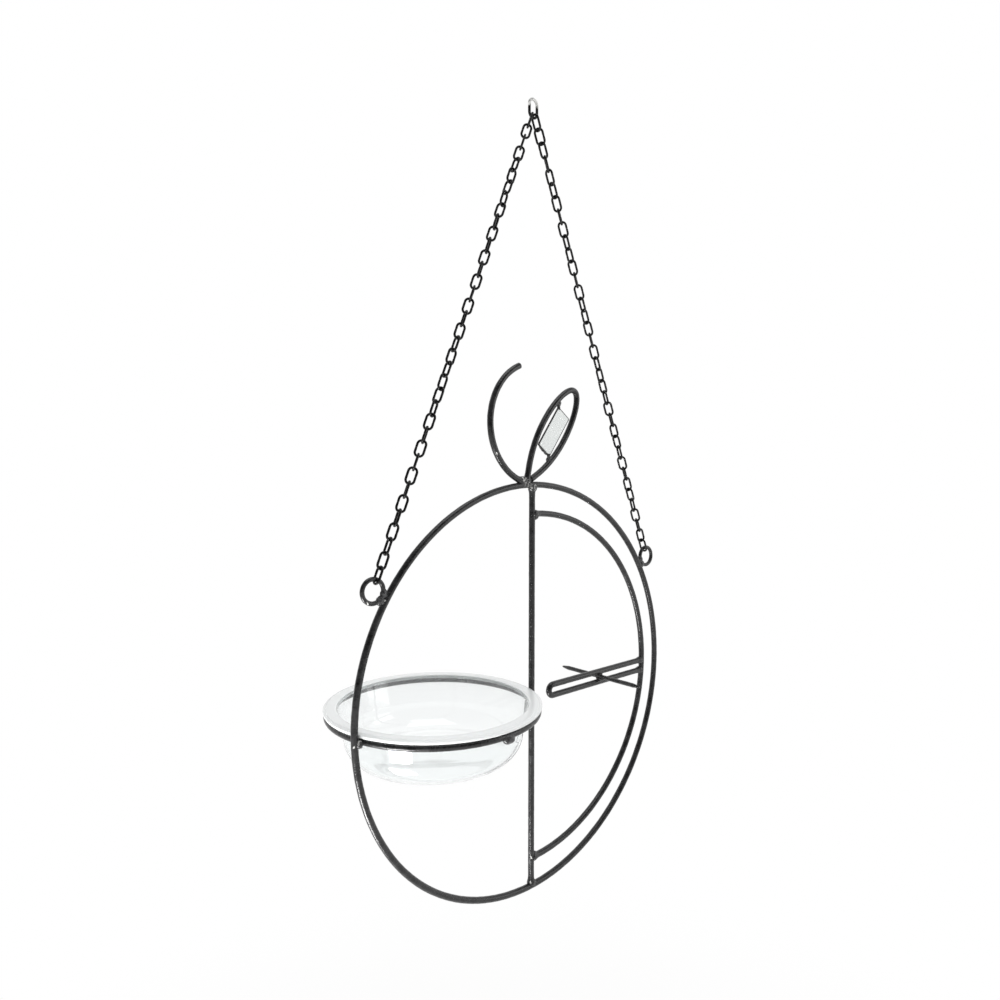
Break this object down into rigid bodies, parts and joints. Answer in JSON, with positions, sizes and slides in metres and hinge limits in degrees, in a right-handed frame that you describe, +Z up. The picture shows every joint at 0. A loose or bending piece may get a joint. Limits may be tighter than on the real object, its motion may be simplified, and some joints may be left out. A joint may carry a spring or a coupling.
{
  "type": "hanging bird fruit feeder",
  "caption": "Round wire hoop hung on twin link chains, with a lift-out clear bowl in a side ring, an arm with a double-ended fruit spike, and a stem and leaf on top.",
  "frame": {"origin": "inside the top of the hang link, where a hook carries it", "axes": "+Z up, +X from the bowl towards the fruit arm, -Y towards the front; the hoop lies in the XZ plane"},
  "size_m": [0.2434, 0.1207, 0.4625],
  "materials": {
    "frame_coat": "mottled dark grey powder coat on welded steel wire",
    "chain_coat": "glossy black coat on bent steel wire",
    "plate_enamel": "plain pale enamel",
    "bowl_plastic": "clear moulded plastic with a thin wall"
  },
  "bodies": {
    "hanger": {"hang_link": "chain_coat"},
    "chain_head": {"chain_left_head": "chain_coat", "chain_right_head": "chain_coat", "chain_left_pair_01": "chain_coat", "chain_left_pair_02": "chain_coat", "chain_right_pair_01": "chain_coat", "chain_right_pair_02": "chain_coat"},
    "chain_upper": {"chain_left_pair_03": "chain_coat", "chain_left_pair_04": "chain_coat", "chain_left_pair_05": "chain_coat", "chain_left_pair_06": "chain_coat", "chain_left_pair_07": "chain_coat", "chain_left_pair_08": "chain_coat", "chain_left_pair_09": "chain_coat", "chain_left_pair_10": "chain_coat", "chain_right_pair_03": "chain_coat", "chain_right_pair_04": "chain_coat", "chain_right_pair_05": "chain_coat", "chain_right_pair_06": "chain_coat", "chain_right_pair_07": "chain_coat", "chain_right_pair_08": "chain_coat", "chain_right_pair_09": "chain_coat", "chain_right_pair_10": "chain_coat"},
    "chain_lower": {"chain_left_pair_11": "chain_coat", "chain_left_pair_12": "chain_coat", "chain_left_pair_13": "chain_coat", "chain_left_pair_14": "chain_coat", "chain_left_pair_15": "chain_coat", "chain_left_pair_16": "chain_coat", "chain_left_pair_17": "chain_coat", "chain_left_pair_18": "chain_coat", "chain_right_pair_11": "chain_coat", "chain_right_pair_12": "chain_coat", "chain_right_pair_13": "chain_coat", "chain_right_pair_14": "chain_coat", "chain_right_pair_15": "chain_coat", "chain_right_pair_16": "chain_coat", "chain_right_pair_17": "chain_coat", "chain_right_pair_18": "chain_coat"},
    "frame": {"hoop": "frame_coat", "centre_post": "frame_coat", "inner_arc": "frame_coat", "bowl_ring": "frame_coat", "eyelet_left": "frame_coat", "eyelet_right": "frame_coat", "fruit_arm": "frame_coat", "fruit_spike": "frame_coat", "stem": "frame_coat", "leaf": "frame_coat", "leaf_plate": "plate_enamel", "plate_stub_upper": "frame_coat", "plate_stub_lower": "frame_coat"},
    "bowl": {"bowl": "bowl_plastic"}
  },
  "joints": [
    {"name": "side_swing", "type": "hinge", "parent": "hanger", "child": "chain_head", "pos_m": [0, 0, -0.0066], "axis": [0, 1, 0], "range_deg": [-30, 30]},
    {"name": "upper_fold", "type": "hinge", "parent": "chain_head", "child": "chain_upper", "pos_m": [0, 0, -0.04204], "axis": [1, 0, 0], "range_deg": [-60, 60]},
    {"name": "lower_fold", "type": "hinge", "parent": "chain_upper", "child": "chain_lower", "pos_m": [0, 0, -0.1548], "axis": [1, 0, 0], "range_deg": [-60, 60]},
    {"name": "frame_rock", "type": "hinge", "parent": "chain_lower", "child": "frame", "pos_m": [0, 0, -0.2641], "axis": [1, 0, 0], "range_deg": [-60, 60]},
    {"name": "bowl_lift", "type": "slide", "parent": "frame", "child": "bowl", "axis": [0, 0.342, 0.9397], "range_m": [0, 0.03]}
  ]
}
